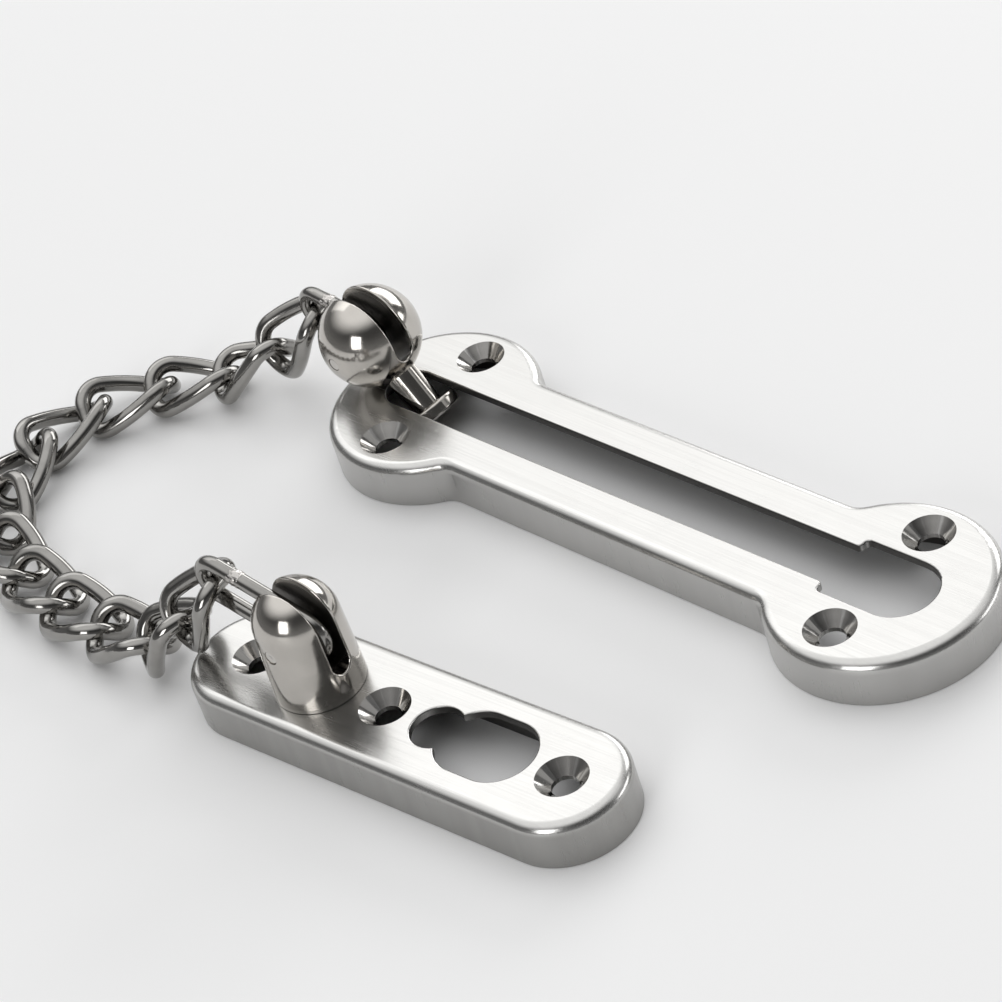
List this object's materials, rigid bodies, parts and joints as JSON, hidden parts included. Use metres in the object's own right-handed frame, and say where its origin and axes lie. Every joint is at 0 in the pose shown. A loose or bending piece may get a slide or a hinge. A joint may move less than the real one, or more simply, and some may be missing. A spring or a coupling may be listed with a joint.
{
  "type": "door chain",
  "caption": "Surface-mounted door security chain: slotted track plate, sliding ball knob, twisted-link chain and an anchor plate with a swivelling slotted post.",
  "frame": {"origin": "centre of the track plate's four screw holes, on the mounting surface", "axes": "+X along the track's slot towards its keyhole, +Y across the track away from the anchor plate, +Z away from the mounting surface"},
  "size_m": [0.1995, 0.098, 0.0298],
  "materials": {
    "satin_plate": "satin brushed stainless steel",
    "polished_head": "polished stainless steel",
    "polished_wire": "polished stainless steel wire",
    "pin": "ground pin end",
    "washer": "plain steel washer"
  },
  "bodies": {
    "track_plate": {"track_plate": "satin_plate"},
    "ball_knob": {"ball_knob": "polished_head", "knob_pin": "pin"},
    "knob_ring": {"knob_ring": "polished_wire"},
    "chain_link_01": {"chain_link_01": "polished_wire"},
    "chain_link_02": {"chain_link_02": "polished_wire"},
    "chain_link_03": {"chain_link_03": "polished_wire"},
    "chain_link_04": {"chain_link_04": "polished_wire"},
    "chain_link_05": {"chain_link_05": "polished_wire"},
    "chain_link_06": {"chain_link_06": "polished_wire"},
    "chain_link_07": {"chain_link_07": "polished_wire"},
    "chain_link_08": {"chain_link_08": "polished_wire"},
    "chain_link_09": {"chain_link_09": "polished_wire"},
    "chain_link_10": {"chain_link_10": "polished_wire"},
    "chain_link_11": {"chain_link_11": "polished_wire"},
    "chain_link_12": {"chain_link_12": "polished_wire"},
    "chain_link_13": {"chain_link_13": "polished_wire"},
    "anchor_ring": {"anchor_ring": "polished_wire"},
    "anchor_post": {"anchor_post": "polished_head", "post_pin": "pin"},
    "anchor_plate": {"anchor_plate": "satin_plate", "post_washer": "washer"}
  },
  "joints": [
    {"name": "knob_slide", "type": "slide", "parent": "track_plate", "child": "ball_knob", "axis": [1, 0, 0], "range_m": [-0.0012, 0.1125]},
    {"name": "knob_ring_swing", "type": "hinge", "parent": "ball_knob", "child": "knob_ring", "pos_m": [-0.06571, 0, 0.01825], "axis": [0, 1, 0], "range_deg": [-12, 60]},
    {"name": "link_01_lift", "type": "hinge", "parent": "knob_ring", "child": "chain_link_01", "pos_m": [-0.07894, 0, 0.01964], "axis": [0, 1, 0], "range_deg": [-1.5, 125]},
    {"name": "link_02_turn", "type": "hinge", "parent": "chain_link_01", "child": "chain_link_02", "pos_m": [-0.08995, -0.0049, 0.00998], "axis": [0, 0, 1], "range_deg": [-30, 10]},
    {"name": "link_03_turn", "type": "hinge", "parent": "chain_link_02", "child": "chain_link_03", "pos_m": [-0.10059, -0.0108, 0.00437], "axis": [0, 0, -1], "range_deg": [-8, 42]},
    {"name": "link_04_turn", "type": "hinge", "parent": "chain_link_03", "child": "chain_link_04", "pos_m": [-0.11101, -0.01923, 0.00406], "axis": [0, 0, 1], "range_deg": [-57, 10]},
    {"name": "link_05_turn", "type": "hinge", "parent": "chain_link_04", "child": "chain_link_05", "pos_m": [-0.11869, -0.03021, 0.00406], "axis": [0, 0, -1], "range_deg": [-10, 60]},
    {"name": "link_06_turn", "type": "hinge", "parent": "chain_link_05", "child": "chain_link_06", "pos_m": [-0.12079, -0.04345, 0.00406], "axis": [0, 0, 1], "range_deg": [-60, 10]},
    {"name": "link_07_turn", "type": "hinge", "parent": "chain_link_06", "child": "chain_link_07", "pos_m": [-0.11621, -0.05604, 0.00406], "axis": [0, 0, -1], "range_deg": [-10, 60]},
    {"name": "link_08_turn", "type": "hinge", "parent": "chain_link_07", "child": "chain_link_08", "pos_m": [-0.10625, -0.065, 0.00406], "axis": [0, 0, 1], "range_deg": [-55, 10]},
    {"name": "link_09_turn", "type": "hinge", "parent": "chain_link_08", "child": "chain_link_09", "pos_m": [-0.09358, -0.06937, 0.00406], "axis": [0, 0, -1], "range_deg": [-14, 45]},
    {"name": "link_10_turn", "type": "hinge", "parent": "chain_link_09", "child": "chain_link_10", "pos_m": [-0.08028, -0.071, 0.00406], "axis": [0, 0, 1], "range_deg": [-42, 14]},
    {"name": "link_11_turn", "type": "hinge", "parent": "chain_link_10", "child": "chain_link_11", "pos_m": [-0.06688, -0.07123, 0.00406], "axis": [0, 0, -1], "range_deg": [-15, 40]},
    {"name": "link_12_turn", "type": "hinge", "parent": "chain_link_11", "child": "chain_link_12", "pos_m": [-0.0536, -0.07054, 0.00571], "axis": [0, 0, 1], "range_deg": [-18, 15]},
    {"name": "link_13_turn", "type": "hinge", "parent": "chain_link_12", "child": "chain_link_13", "pos_m": [-0.04321, -0.06871, 0.01397], "axis": [0, 0, -1], "range_deg": [-18, 40]},
    {"name": "anchor_ring_turn", "type": "hinge", "parent": "chain_link_13", "child": "anchor_ring", "pos_m": [-0.0355, -0.06532, 0.02546], "axis": [0, 0, 1], "range_deg": [-35, 20]},
    {"name": "post_tilt", "type": "hinge", "parent": "anchor_ring", "child": "anchor_post", "pos_m": [-0.01557, -0.06369, 0.0201], "axis": [-0.0814, 0.9967, 0], "range_deg": [-20, 1]},
    {"name": "plate_swivel", "type": "hinge", "parent": "anchor_post", "child": "anchor_plate", "pos_m": [-0.01557, -0.06369, 0], "axis": [0, 0, 1], "range_deg": [-115, 25]}
  ],
  "couplings": [
    {"joint": "link_01_lift", "follows": "knob_slide", "rad_per_m": 19.199}
  ]
}
